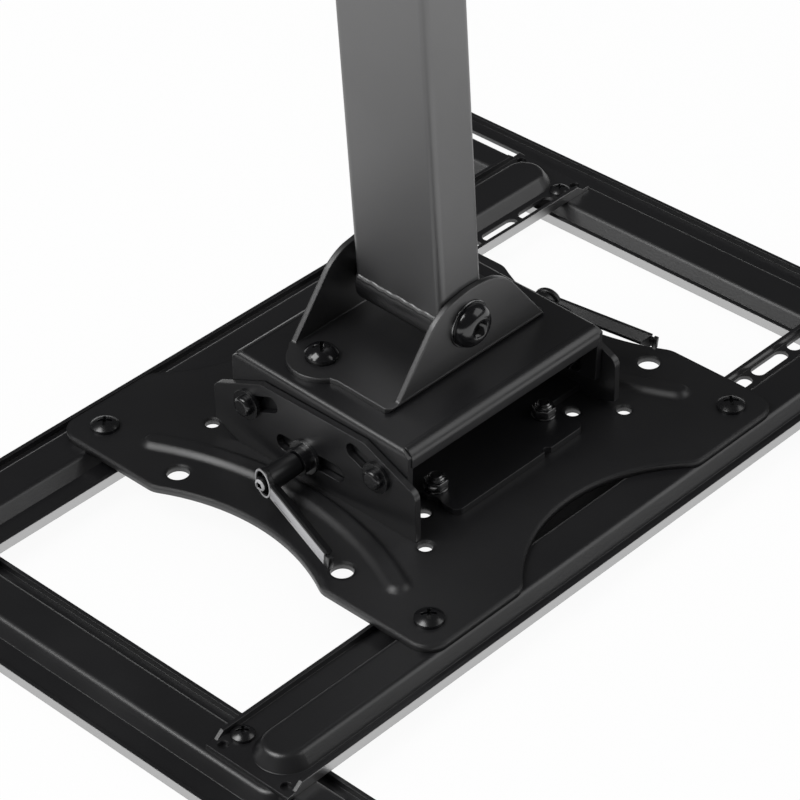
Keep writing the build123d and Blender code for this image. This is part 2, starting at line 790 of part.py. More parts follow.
# The handle's hub ends under a raked plate: an eye round the end screw and a straight arm
with BuildPart() as front_lever_handle:
    with BuildSketch(lever_plane(hub_start)):
        Circle(hub_small)
    with BuildSketch(lever_plane(eye_face + hub_large)):
        Circle(hub_large)
    loft()
    with BuildSketch(arm_plane):
        Rectangle(4 * eye_radius, 4 * eye_radius)
    extrude(amount=3 * eye_radius, mode=Mode.SUBTRACT)
    with BuildSketch(arm_plane):
        Circle(eye_radius)
    extrude(amount=-eye_thickness)
    with BuildSketch(arm_plane):
        Polygon(
            (eye_recess_radius, -arm_root),
            (lever_length - arm_nose, -arm_tip),
            (lever_length, arm_nose - arm_tip),
            (lever_length, arm_tip - arm_nose),
            (lever_length - arm_nose, arm_tip),
            (eye_recess_radius, arm_root),
            align=None,
        )
    extrude(amount=-arm_thickness)
    with BuildSketch(lever_plane(recess_floor)):
        Circle(eye_recess_radius)
    extrude(amount=2 * eye_recess_depth, mode=Mode.SUBTRACT)
    with BuildSketch(lever_plane(hub_start)):
        Circle(spindle_radius + running_clearance)
    extrude(amount=hub_length, mode=Mode.SUBTRACT)

with BuildPart() as front_stud_nut:
    with BuildSketch(Plane.XZ.offset(head_inner_y - stud_nut_height)):
        with Locations((stud_x, tilt_z)):
            RegularPolygon(stud_nut_size / 2, 6, major_radius=False)
            Circle(stud_radius + running_clearance, mode=Mode.SUBTRACT)
    extrude(amount=stud_nut_height)

front_set = {
    "lever_washer": front_lever_washer,
    "lever_insert": front_lever_insert,
    "lever_screw": front_lever_screw,
    "lever_handle": front_lever_handle,
    "stud_nut": front_stud_nut,
}

pieces = {
    "vesa_plate": vesa_plate,
    "left_bar": left_bar,
    "right_bar": right_bar,
    "front_rail": front_rail,
    "rear_rail": rear_rail,
    "tip_screws": tip_screws,
    "rail_screws": rail_screws,
    "tilt_cradle": tilt_cradle,
    "cradle_bolts": cradle_bolts,
    "cradle_washers": cradle_washers,
    "cradle_nuts": cradle_nuts,
    "guide_pins": guide_pins,
    "guide_washers": guide_washers,
    "guide_nuts": guide_nuts,
    "tilt_channel": tilt_channel,
    "yoke_bracket": yoke_bracket,
    "yoke_bolts": yoke_bolts,
    "yoke_nuts": yoke_nuts,
    "pivot_bolt": pivot_bolt,
    "pivot_washers": pivot_washers,
    "pivot_nut": pivot_nut,
    "pivot_barrel": pivot_barrel,
    "pole_tube": pole_tube,
}

for name, front in front_set.items():
    with BuildPart() as rear:
        add(front.part.mirror(Plane.XZ))
    pieces["front_" + name] = front
    pieces["rear_" + name] = rear

os.makedirs("parts", exist_ok=True)
for name, piece in pieces.items():
    piece.part.label = name
    export_step(piece.part, f"parts/{name}.step")
    print(name, len(piece.part.solids()), round(piece.part.volume / 1000, 2), "cm3")
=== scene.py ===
import json
import math
import bmesh
import bpy
from mathutils import Matrix, Vector


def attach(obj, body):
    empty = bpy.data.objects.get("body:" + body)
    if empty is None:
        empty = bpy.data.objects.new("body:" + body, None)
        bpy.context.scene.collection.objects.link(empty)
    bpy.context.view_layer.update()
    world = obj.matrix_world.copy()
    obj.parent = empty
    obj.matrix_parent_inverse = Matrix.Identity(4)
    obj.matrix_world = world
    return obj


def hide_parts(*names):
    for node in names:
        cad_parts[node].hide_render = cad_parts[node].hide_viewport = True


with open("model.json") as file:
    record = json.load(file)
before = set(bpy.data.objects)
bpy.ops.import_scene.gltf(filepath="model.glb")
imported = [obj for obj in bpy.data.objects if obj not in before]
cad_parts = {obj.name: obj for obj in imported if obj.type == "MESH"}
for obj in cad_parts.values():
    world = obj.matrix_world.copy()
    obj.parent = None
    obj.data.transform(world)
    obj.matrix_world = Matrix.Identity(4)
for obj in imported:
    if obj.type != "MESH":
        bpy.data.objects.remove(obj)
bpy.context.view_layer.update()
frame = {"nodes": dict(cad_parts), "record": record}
nodes = frame["nodes"]
print("frame loaded:", len(nodes), "nodes")


# sRGB hex to the linear values that the shaders take
def linear(hexColour):
    channels = [int(hexColour[i:i + 2], 16) / 255 for i in (0, 2, 4)]
    return [c / 12.92 if c <= 0.04045 else ((c + 0.055) / 1.055) ** 2.4 for c in channels] + [1.0]


# adds a node, sets its properties and sockets, and links sources to its sockets
def node(tree, kind, settings=None, links=None):
    made = tree.nodes.new(kind)
    for key, value in (settings or {}).items():
        if isinstance(key, str) and hasattr(made, key):
            setattr(made, key, value)
        else:
            made.inputs[key].default_value = value
    for key, source in (links or {}).items():
        tree.links.new(source, made.inputs[key])
    return made


def newMaterial(name):
    material = bpy.data.materials.new(name)
    material.use_nodes = True
    tree = material.node_tree
    tree.nodes.clear()
    shader = node(tree, "ShaderNodeBsdfPrincipled")
    node(tree, "ShaderNodeOutputMaterial", links={"Surface": shader.outputs["BSDF"]})
    return material, tree, shader


# powder coat over formed steel sheet: baked polyester with a fine pebble and a soft sheen, rounded where it
# builds up on edges; the grain is drawn twice as coarse as it is, so that it shows
sheetFinish = {"dark": "131315", "light": "1B1B1D", "grainMm": 0.7, "cloudMm": 45, "edgeMm": 0.45,
               "roughLow": 0.30, "roughHigh": 0.40, "bump": 0.12, "ior": 1.8, "metallic": 0.0}


# the other finishes are this one with changes: a fine grain, a slow drift of tone and gloss, and soft edges
def coat(name, **changes):
    finish = {**sheetFinish, **changes}
    material, tree, shader = newMaterial(name)
    place = node(tree, "ShaderNodeTexCoord").outputs["Object"]
    grain = node(tree, "ShaderNodeTexNoise", {"Scale": 1000 / finish["grainMm"], "Detail": 2.0}, {"Vector": place})
    cloud = node(tree, "ShaderNodeTexNoise", {"Scale": 1000 / finish["cloudMm"], "Detail": 3.0}, {"Vector": place})
    tone = node(tree, "ShaderNodeMix", {"name": "tone", "data_type": "RGBA", 6: linear(finish["dark"]),
                                        7: linear(finish["light"])}, {"Factor": cloud.outputs["Fac"]})
    rough = node(tree, "ShaderNodeMapRange", {"From Min": 0.3, "From Max": 0.7, "To Min": finish["roughLow"],
                                              "To Max": finish["roughHigh"]}, {"Value": cloud.outputs["Fac"]})
    edge = node(tree, "ShaderNodeBevel", {"samples": 6, "Radius": finish["edgeMm"] / 1000})
    bump = node(tree, "ShaderNodeBump", {"Strength": finish["bump"], "Distance": finish["grainMm"] / 4000},
                {"Height": grain.outputs["Fac"], "Normal": edge.outputs["Normal"]})
    tree.links.new(tone.outputs[2], shader.inputs["Base Color"])
    tree.links.new(rough.outputs["Result"], shader.inputs["Roughness"])
    tree.links.new(bump.outputs["Normal"], shader.inputs["Normal"])
    shader.inputs["IOR"].default_value = finish["ior"]
    shader.inputs["Metallic"].default_value = finish["metallic"]
    return material


powderCoatedSteel = coat("powderCoatedSteel")

# the screen plate: the same coat, with the soft broad shoulders of deep-drawn sheet
pressedPlateCoat = coat("pressedPlateCoat", edgeMm=2.4, roughLow=0.36, roughHigh=0.46)

# the pole's coat over drawn tube: a shade lighter and a little more matt
poleCoat = coat("poleCoat", dark="1C1C1E", light="262628", roughLow=0.34, roughHigh=0.44, edgeMm=0.9, ior=2.35)

# the yoke's coat: a shade lighter in colour than the channel's and slightly more matt
yokeCoat = coat("yokeCoat", dark="161618", light="1E1E20", roughLow=0.38, roughHigh=0.46, edgeMm=0.8, ior=2.3)

# bolts, nuts and washers: black oxide over turned steel, smooth and oily, with sharp highlights
blackOxideSteel = coat("blackOxideSteel", dark="0C0C0E", light="141416", edgeMm=0.25, roughLow=0.2,
                       roughHigh=0.28, bump=0.02, ior=1.75)

# pivot and yoke bolts: the same oxide over polished heads, so their sockets stay crisp
polishedBoltSteel = coat("polishedBoltSteel", dark="0C0C0E", light="141416", edgeMm=0.1, roughLow=0.15,
                         roughHigh=0.2, bump=0.01, ior=1.7)

# lock nuts and lever washers: plated and freshly oiled, so their rims catch more light than the bolts do
oiledNutSteel = coat("oiledNutSteel", dark="101012", light="1A1A1C", edgeMm=0.3, roughLow=0.16, roughHigh=0.22,
                     bump=0.02, ior=2.9)

# levers: black lacquer over die-cast zinc, smooth with a soft gloss
lacqueredZinc = coat("lacqueredZinc", dark="0E0E10", light="161618", edgeMm=0.3, roughLow=0.3, roughHigh=0.38,
                     bump=0.02, ior=1.75)

# painted reflection on the levers' flats: a light satin grey that stands in for the light their glossy black faces
# mirror, with a fine grain
paintedReflectionGrey = coat("paintedReflectionGrey", dark="B0B0B2", light="C8C8CA", edgeMm=0.1, roughLow=0.42, roughHigh=0.5,
                 bump=0.04, ior=1.45, metallic=0.35)

# the levers' end screws: black oxide, with the rim round the socket coloured light grey past a set distance along
# Y
endScrew = {"lightFromMm": 72.54}  # distance along Y past which the rim is bright
lightEndScrewSteel = coat("lightEndScrewSteel", dark="101012", light="B8B8BA", edgeMm=0.08, roughLow=0.36,
                        roughHigh=0.44, bump=0.03, ior=1.45)
tree = lightEndScrewSteel.node_tree
place = node(tree, "ShaderNodeSeparateXYZ", links={"Vector": node(tree, "ShaderNodeTexCoord").outputs["Object"]})
reach = node(tree, "ShaderNodeMath", {"operation": "ABSOLUTE"}, {0: place.outputs["Y"]})
rim = node(tree, "ShaderNodeMath", {"operation": "GREATER_THAN", 1: endScrew["lightFromMm"] / 1000},
           {0: reach.outputs[0]})
tree.links.new(rim.outputs[0], tree.nodes["tone"].inputs["Factor"])

# the sheared outer walls of bars and rails carry a slick, thin coat that mirrors the white floor
wallFinish = {"fromCentreMm": 16.9, "upright": 0.8, "ior": 5.5}


def walledCoat(name, axis, centreMm):
    material = coat(name)
    tree = material.node_tree
    place = node(tree, "ShaderNodeSeparateXYZ",
                 links={"Vector": node(tree, "ShaderNodeTexCoord").outputs["Object"]})
    facing = node(tree, "ShaderNodeSeparateXYZ",
                  links={"Vector": node(tree, "ShaderNodeNewGeometry").outputs["True Normal"]})
    side = node(tree, "ShaderNodeMath", {"operation": "ABSOLUTE"}, {0: place.outputs[axis]})
    offset = node(tree, "ShaderNodeMath", {"operation": "SUBTRACT", 1: centreMm / 1000}, {0: side.outputs[0]})
    reach = node(tree, "ShaderNodeMath", {"operation": "ABSOLUTE"}, {0: offset.outputs[0]})
    outer = node(tree, "ShaderNodeMath", {"operation": "GREATER_THAN", 1: wallFinish["fromCentreMm"] / 1000},
                 {0: reach.outputs[0]})
    turn = node(tree, "ShaderNodeMath", {"operation": "ABSOLUTE"}, {0: facing.outputs[axis]})
    upright = node(tree, "ShaderNodeMath", {"operation": "GREATER_THAN", 1: wallFinish["upright"]},
                   {0: turn.outputs[0]})
    wall = node(tree, "ShaderNodeMath", {"operation": "MULTIPLY"}, {0: outer.outputs[0], 1: upright.outputs[0]})
    index = node(tree, "ShaderNodeMapRange", {"To Min": sheetFinish["ior"], "To Max": wallFinish["ior"]},
                 {"Value": wall.outputs[0]})
    tree.links.new(index.outputs["Result"], tree.nodes["Principled BSDF"].inputs["IOR"])
    return material


barCoat = walledCoat("barCoat", "X", 77.0)
railCoat = walledCoat("railCoat", "Y", 155.75)

slotFinish = {"powder_coat": powderCoatedSteel, "black_fastener": blackOxideSteel,
              "dark_zinc": blackOxideSteel, "lever_handle": lacqueredZinc}
ownFinish = {"left_bar": barCoat, "right_bar": barCoat, "front_rail": railCoat, "rear_rail": railCoat,
             "vesa_plate": pressedPlateCoat, "pole_tube": poleCoat, "cradle_bolts": oiledNutSteel,
             "front_lever_screw": lightEndScrewSteel, "rear_lever_screw": lightEndScrewSteel,
             "front_lever_washer": oiledNutSteel, "rear_lever_washer": oiledNutSteel}
slotOf = {part["node"]: part["material_slot"] for part in frame["record"]["subparts"]}
for name, piece in nodes.items():
    piece.data.materials.clear()
    piece.data.materials.append(ownFinish.get(name, slotFinish[slotOf[name]]))
print("materials made")


# merges doubled corners, shades the mesh, and gives it its body, its slot and the solids it stands for
def addPiece(name, bm, material, body, replaced=(), sharpDegrees=32):
    bmesh.ops.remove_doubles(bm, verts=bm.verts, dist=1e-7)
    bmesh.ops.recalc_face_normals(bm, faces=bm.faces)
    mesh = bpy.data.meshes.new(name)
    bm.to_mesh(mesh)
    bm.free()
    mesh.materials.append(material)
    mesh.shade_smooth()
    mesh.set_sharp_from_angle(angle=math.radians(sharpDegrees))
    piece = bpy.data.objects.new(name, mesh)
    bpy.context.scene.collection.objects.link(piece)
    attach(piece, body)
    if replaced:
        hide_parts(*replaced)


# a closed profile of (radius, height) in millimetres, turned about its own upright axis
def turned(profile, place, steps=40):
    bm = bmesh.new()
    corners = [bm.verts.new((r / 1000, 0, h / 1000)) for r, h in profile]
    for first, second in zip(corners, corners[1:] + corners[:1]):
        bm.edges.new((first, second))
    bmesh.ops.spin(bm, geom=bm.verts[:] + bm.edges[:], cent=(0, 0, 0), axis=(0, 0, 1), angle=2 * math.pi,
                   steps=steps, use_merge=True)
    bmesh.ops.transform(bm, matrix=place, verts=bm.verts)
    return bm


def block(bm, size, centre, bevelMm):
    made = bmesh.ops.create_cube(bm, size=1.0)["verts"]
    bmesh.ops.scale(bm, vec=[s / 1000 for s in size], verts=made)
    bmesh.ops.translate(bm, vec=[c / 1000 for c in centre], verts=made)
    edges = list({e for v in made for e in v.link_edges})
    bmesh.ops.bevel(bm, geom=edges, offset=bevelMm / 1000, offset_type="OFFSET", affect="EDGES", segments=2,
                    profile=0.5, material=-1)


def join(target, other):
    mesh = bpy.data.meshes.new("joined")
    other.to_mesh(mesh)
    other.free()
    target.from_mesh(mesh)
    bpy.data.meshes.remove(mesh)


# extrudes faces and shifts what has grown
def thicken(bm, faces, shift):
    grown = bmesh.ops.extrude_face_region(bm, geom=faces)["geom"]
    corners = [g for g in grown if isinstance(g, bmesh.types.BMVert)]
    bmesh.ops.translate(bm, vec=shift, verts=corners)
    return corners, [g for g in grown if isinstance(g, bmesh.types.BMFace)]


# draws an arc from a corner and gives its far end
def arcFrom(bm, corner, centre, axis, degrees, steps):
    arc = bmesh.ops.spin(bm, geom=[corner], cent=centre, axis=axis, angle=math.radians(degrees), steps=steps,
                         use_duplicate=False)["geom_last"]
    return next(g for g in arc if isinstance(g, bmesh.types.BMVert))


def frameOf(along, normal, origin):
    return Matrix.Translation(origin) @ Matrix((along, normal.cross(along), normal)).transposed().to_4x4()


# clamping levers: a tapered hub on the stud, a raised ring round the end screw and a raked, ridged arm
lever = {"droop": 6.7, "rake": 15.3, "axisMm": (-3.2, 25.8), "hubStart": 56.3, "eyeFace": 71.2, "hubBlank": 20,
         "hubFoot": 4.0, "hubHead": 4.7, "bore": 2.4, "recess": 4.0, "recessFloor": 10.9, "ring": 5.3,
         "ringSheet": 2.0, "corner": 0.3, "length": 43.2, "root": 2.8, "tip": 2.6, "edge": 1.1, "depth": 4.1,
         "ridge": 0.22, "ridgePull": 2.5, "nub": 2.6, "neckBlock": (1.4, 3.2, 1.6), "nubBlock": (1.7, 4.7, 2.1)}
studX, studZ = (c / 1000 for c in lever["axisMm"])
droop, rake = math.radians(lever["droop"]), math.radians(lever["rake"])
leverOut = Vector((math.cos(droop), 0, -math.sin(droop)))
outward = Vector((0, -1, 0))
rakedOut = leverOut * math.cos(rake) + outward * math.sin(rake)
rakedUp = outward * math.cos(rake) - leverOut * math.sin(rake)
hubFrame = frameOf(leverOut, outward, Vector((studX, -lever["hubStart"] / 1000, studZ)))
armFrame = frameOf(rakedOut, rakedUp, Vector((studX, -lever["eyeFace"] / 1000, studZ)))


def leverMesh():
    bore, recess, floor, corner = lever["bore"], lever["recess"], lever["recessFloor"], lever["corner"]
    hub = turned([(bore, 0), (lever["hubFoot"] - corner, 0), (lever["hubFoot"], corner),
                  (lever["hubHead"], lever["hubBlank"]), (recess, lever["hubBlank"]), (recess, floor),
                  (bore, floor)], hubFrame)
    cut = bmesh.ops.bisect_plane(hub, geom=hub.verts[:] + hub.edges[:] + hub.faces[:], dist=1e-7,
                                 plane_co=armFrame.translation - rakedUp * 0.00015, plane_no=rakedUp,
                                 clear_outer=True)  # the hub's blank is cut off just under the arm's face
    rims = [g for g in cut["geom_cut"] if isinstance(g, bmesh.types.BMEdge)]
    bmesh.ops.bridge_loops(hub, edges=rims)
    ring, ringIn, sheet = lever["ring"], recess + 0.2, lever["ringSheet"]
    join(hub, turned([(ringIn, -sheet), (ringIn, -0.25), (ringIn + 0.2, 0), (ring - corner, 0), (ring, -corner),
                      (ring, -sheet + corner), (ring - corner, -sheet)], armFrame))
    arm = bmesh.new()
    start, end = recess + 0.3, lever["length"] - lever["nub"]
    outline = [(start, -lever["root"]), (end, -lever["tip"]), (end, lever["tip"]), (start, lever["root"])]
    face = arm.faces.new([arm.verts.new((u / 1000, v / 1000, 0)) for u, v in outline])
    ridgeDepth = lever["depth"] - lever["edge"]
    for depth, width, pull in ((lever["edge"], 1.0, 0.0), (ridgeDepth, lever["ridge"], lever["ridgePull"])):
        corners, (face,) = thicken(arm, [face], (0, 0, -depth / 1000))
        bmesh.ops.scale(arm, vec=(1, width, 1), verts=corners)
        bmesh.ops.translate(arm, vec=(-pull / 1000, 0, 0), verts=[v for v in corners if v.co.x > 0.02])
    block(arm, lever["neckBlock"], (end + 0.5, 0, -0.9), 0.2)
    block(arm, lever["nubBlock"], (lever["length"] - 0.95, 0, -0.95), 0.35)
    bmesh.ops.transform(arm, matrix=armFrame, verts=arm.verts)
    join(hub, arm)
    return hub


# painted reflection: thin light sheets on the arm's flat and the ring's rim, inset from their black edges, stand
# in for the light these glossy faces mirror; a gap along the flat's lower side is left dark as a groove
leverReflectionSheet = {"sheet": 0.14, "rim": 0.45, "grooveIn": 0.75, "grooveWide": 0.32, "grooveFrom": 8.0, "grooveTo": 19.0}


def leverReflectionSheets():
    sheet, rim = leverReflectionSheet["sheet"], leverReflectionSheet["rim"]
    start, end = lever["ring"] - 0.1, lever["length"] - lever["nub"] - rim
    grooveTop = rim + leverReflectionSheet["grooveIn"] - lever["tip"]
    grooveFoot = grooveTop - leverReflectionSheet["grooveWide"]
    reflectionSheets = bmesh.new()
    for low, high, first, last in ((grooveTop, lever["tip"] - rim, start, end),
                                   (rim - lever["tip"], grooveFoot, start, end),
                                   (grooveFoot, grooveTop, start, leverReflectionSheet["grooveFrom"]),
                                   (grooveFoot, grooveTop, leverReflectionSheet["grooveTo"], end)):
        block(reflectionSheets, (last - first, high - low, sheet), ((first + last) / 2, (low + high) / 2, sheet / 2), 0.03)
    bmesh.ops.transform(reflectionSheets, matrix=armFrame, verts=reflectionSheets.verts)
    inner, outer = lever["recess"] + 0.4, lever["ring"] - 0.25
    join(reflectionSheets, turned([(inner, -0.1), (inner, sheet), (outer, sheet), (outer, -0.1)], armFrame))
    return reflectionSheets


# the rear lever is the front one mirrored
for side, body in ((1, "front"), (-1, "rear")):
    handle, reflectionSheets = leverMesh(), leverReflectionSheets()
    for bm in (handle, reflectionSheets):
        bmesh.ops.scale(bm, vec=(1, side, 1), verts=bm.verts)
    addPiece(body + "LeverHandle", handle, lacqueredZinc, body + "_handle",
             [body + "_lever_handle"])
    # the light sheets on each lever are a painted reflection
    addPiece(body + "LeverPaintedReflection", reflectionSheets, paintedReflectionGrey, body + "_handle")
print("clamping levers made")

# lock nuts on the cradle's bolts: washer, chamfered hexagon and a turned collar over the nylon ring
lockNut = {"x": 33.5, "y": 27.0, "floor": 17.8, "bore": 2.42, "washer": 4.3, "washerSheet": 0.8, "across": 7.4,
           "height": 3.0, "chamfer": 0.35, "collar": 3.0, "collarHeight": 1.2, "collarRound": 0.4}
nuts, washers = bmesh.new(), bmesh.new()
bore, wide, sheet = lockNut["bore"], lockNut["washer"], lockNut["washerSheet"]
corner = lockNut["across"] / math.sqrt(3) / 1000
collar, collarFoot = lockNut["collar"], sheet + lockNut["height"] - 0.1
collarTop, shoulder = collarFoot + lockNut["collarHeight"], lockNut["collarRound"]
for x in (-lockNut["x"], lockNut["x"]):
    for y in (-lockNut["y"], lockNut["y"]):
        seat = Matrix.Translation((x / 1000, y / 1000, lockNut["floor"] / 1000))
        join(washers, turned([(bore, 0), (wide, 0), (wide, sheet - 0.15), (wide - 0.15, sheet), (bore, sheet)],
                             seat))
        hexagon = bmesh.new()
        bmesh.ops.create_cone(hexagon, cap_ends=True, segments=6, radius1=corner, radius2=corner,
                              depth=lockNut["height"] / 1000)
        bmesh.ops.translate(hexagon, vec=(0, 0, (sheet + lockNut["height"] / 2) / 1000), verts=hexagon.verts)
        bmesh.ops.bevel(hexagon, geom=hexagon.edges[:], offset=lockNut["chamfer"] / 1000, offset_type="OFFSET",
                        affect="EDGES", segments=2, profile=0.5, material=-1)
        bmesh.ops.transform(hexagon, matrix=seat, verts=hexagon.verts)
        join(nuts, hexagon)
        join(nuts, turned([(bore, collarFoot), (collar, collarFoot), (collar, collarTop - shoulder),
                           (collar - shoulder, collarTop), (bore, collarTop)], seat, steps=28))
addPiece("cradleLockNuts", nuts, oiledNutSteel, "base", ["cradle_nuts"])
addPiece("cradleNutWashers", washers, oiledNutSteel, "base", ["cradle_washers"])
print("lock nuts made")

# the head is turned about the studs with the tilt channel, and the pole leans about the pivot bolt
head = {"tilt": 2.1, "swing": 5.0, "pivotMm": 66.6}
tiltPoint = Vector((studX, 0, studZ))
pivotPoint = Vector((0, 0, head["pivotMm"] / 1000))
headTurn = (Matrix.Translation(tiltPoint) @ Matrix.Rotation(math.radians(head["tilt"]), 4, "Y")
            @ Matrix.Translation(-tiltPoint))
poleTurn = (headTurn @ Matrix.Translation(pivotPoint) @ Matrix.Rotation(math.radians(head["swing"]), 4, "X")
            @ Matrix.Translation(-pivotPoint))

# the tilt channel's two side lips, with their wide bends and square lower edges
lipSet = {"reach": 40.95, "half": 46.4, "foot": 42.3, "top": 49.13, "sheet": 2.4, "bend": 4.02}
bendX, bendZ = ((lipSet[k] - lipSet["bend"]) / 1000 for k in ("reach", "top"))
lips = bmesh.new()
for side in (-1, 1):
    lip = bmesh.new()
    first = lip.verts.new((bendX, 0, lipSet["top"] / 1000))
    last = arcFrom(lip, first, (bendX, 0, bendZ), (0, 1, 0), 90, 14)
    foot = lip.verts.new((last.co.x, 0, lipSet["foot"] / 1000))
    inner = lip.verts.new((last.co.x - lipSet["sheet"] / 1000, 0, lipSet["foot"] / 1000))
    back = lip.verts.new((inner.co.x, 0, bendZ))
    for ends in ((last, foot), (foot, inner), (inner, back), (back, first)):
        lip.edges.new(ends)
    section = bmesh.ops.contextual_create(lip, geom=lip.edges[:])["faces"]
    thicken(lip, section, (0, 2 * lipSet["half"] / 1000, 0))
    bmesh.ops.translate(lip, vec=(0, -lipSet["half"] / 1000, 0), verts=lip.verts)
    bmesh.ops.scale(lip, vec=(side, 1, 1), verts=lip.verts)
    join(lips, lip)
bmesh.ops.transform(lips, matrix=headTurn, verts=lips.verts)
addPiece("channelLips", lips, powderCoatedSteel, "head")
print("channel lips made")

# yoke of bent sheet: a base with a bolt lobe in front and two ears with broad, nearly flat tops
yoke = {"sheet": 2.0, "floor": 49.1, "left": -27.6, "right": 22.2, "front": -38.0, "back": 39.3, "corner": 1.7,
        "lobe": 12.4, "lobeAt": (-14.0, -31.7), "lobeFrom": 204, "lobeSweep": 121, "lobeEndX": -1.0,
        "frontStep": 4.0, "bend": 1.9,
        "ear": [(-34.4, 49.1), (-13.6, 77.6), (4.0, 80.6), (18.0, 77.0), (39.6, 49.1)], "earRound": 6.5}


def yokeCorner(bm, last, x, y):
    corner = bm.verts.new((x / 1000, y / 1000, yoke["floor"] / 1000))
    if last:
        bm.edges.new((last, corner))
    return corner


# rounds the bends under the ears, along the base's two long sides
def roundBends(bm):
    low = yoke["floor"] / 1000
    sides = [e for e in bm.edges if all(abs(v.co.z - low) < 1e-6 for v in e.verts) and any(
        all(abs(v.co.x - x / 1000) < 1e-6 for v in e.verts) for x in (yoke["left"], yoke["right"]))]
    bmesh.ops.bevel(bm, geom=sides, offset=yoke["bend"] / 1000, offset_type="OFFSET", affect="EDGES", segments=6,
                    profile=0.5, material=-1)


yokeMesh = bmesh.new()
left, right, front, back, corner = (yoke[k] for k in ("left", "right", "front", "back", "corner"))
lobeX, lobeY = yoke["lobeAt"]
lobeStart = math.radians(yoke["lobeFrom"])
first = yokeCorner(yokeMesh, None, left, front + yoke["frontStep"])
last = yokeCorner(yokeMesh, first, lobeX + yoke["lobe"] * math.cos(lobeStart),
                  lobeY + yoke["lobe"] * math.sin(lobeStart))
last = arcFrom(yokeMesh, last, (lobeX / 1000, lobeY / 1000, last.co.z), (0, 0, 1), yoke["lobeSweep"], 24)
for x, y in ((yoke["lobeEndX"], front), (right - corner, front), (right, front + corner), (right, back - corner),
             (right - corner, back), (left + corner, back), (left, back - corner)):
    last = yokeCorner(yokeMesh, last, x, y)
yokeMesh.edges.new((last, first))
base = bmesh.ops.contextual_create(yokeMesh, geom=yokeMesh.edges[:])["faces"]
thicken(yokeMesh, base, (0, 0, yoke["sheet"] / 1000))
roundBends(yokeMesh)
for outer, inwards in ((left, 1), (right, -1)):
    ear = bmesh.new()
    corners = [ear.verts.new((outer / 1000, y / 1000, z / 1000)) for y, z in yoke["ear"]]
    for ends in zip(corners, corners[1:] + corners[:1]):
        ear.edges.new(ends)
    bmesh.ops.contextual_create(ear, geom=ear.edges[:])
    bmesh.ops.bevel(ear, geom=corners[1:4], offset=yoke["earRound"] / 1000, offset_type="OFFSET",
                    affect="VERTICES", segments=8, profile=0.5, material=-1)
    thicken(ear, ear.faces[:], (inwards * yoke["sheet"] / 1000, 0, 0))
    roundBends(ear)
    join(yokeMesh, ear)
bmesh.ops.transform(yokeMesh, matrix=headTurn, verts=yokeMesh.verts)
addPiece("yokeBent", yokeMesh, yokeCoat, "head", ["yoke_bracket"])
print("yoke bent")


# a merged copy of a solid, resized about a point and shifted in the head's own frame
def refitted(name, size, centreMm, shiftMm):
    bm = bmesh.new()
    bm.from_mesh(nodes[name].data)
    bmesh.ops.remove_doubles(bm, verts=bm.verts, dist=1e-6)
    centre = Matrix.Translation(Vector(centreMm) / 1000)
    change = (headTurn @ Matrix.Translation(Vector(shiftMm) / 1000) @ centre @ Matrix.Diagonal((*size, 1))
              @ centre.inverted() @ headTurn.inverted())
    bmesh.ops.transform(bm, matrix=change, verts=bm.verts)
    return bm


# the pivot bolt and its nut, drawn in to the thinner ears, on a thin washer each
pivotSet = {"boltSize": (0.90, 0.92, 0.92), "boltShift": (-0.35, 0, 0), "nutSize": (0.42, 0.95, 0.95),
            "nutEdge": -25.8, "washer": 8.7, "washerSheet": 0.7, "washerBore": 5.1}
wide, sheet, bore = pivotSet["washer"], pivotSet["washerSheet"], pivotSet["washerBore"]
addPiece("pivotButtonBolt", refitted("pivot_bolt", pivotSet["boltSize"], (0, 0, head["pivotMm"]),
                                     pivotSet["boltShift"]),
         polishedBoltSteel, "head", ["pivot_bolt"], 24)
addPiece("pivotThinNut", refitted("pivot_nut", pivotSet["nutSize"], (pivotSet["nutEdge"], 0, head["pivotMm"]),
                                  (left - sheet - pivotSet["nutEdge"], 0, 0)),
         blackOxideSteel, "head", ["pivot_nut"])
pivotWashers = bmesh.new()
for edge, facing in ((right, 1), (left, -1)):
    seat = (headTurn @ Matrix.Translation((edge / 1000, 0, head["pivotMm"] / 1000))
            @ Matrix.Rotation(facing * math.pi / 2, 4, "Y"))
    join(pivotWashers, turned([(bore, 0), (wide, 0), (wide, sheet - 0.2), (wide - 0.2, sheet), (bore, sheet)],
                              seat, steps=48))
addPiece("pivotThinWashers", pivotWashers, oiledNutSteel, "head", ["pivot_washers"])

# the yoke's dome bolts, lowered on to the thinner sheet
addPiece("yokeDomeBolts", refitted("yoke_bolts", (1, 1, 1), (0, 0, 0), (0, 0, -1.5)), polishedBoltSteel, "head",
         ["yoke_bolts"], 24)
print("pivot set and yoke bolts fitted")

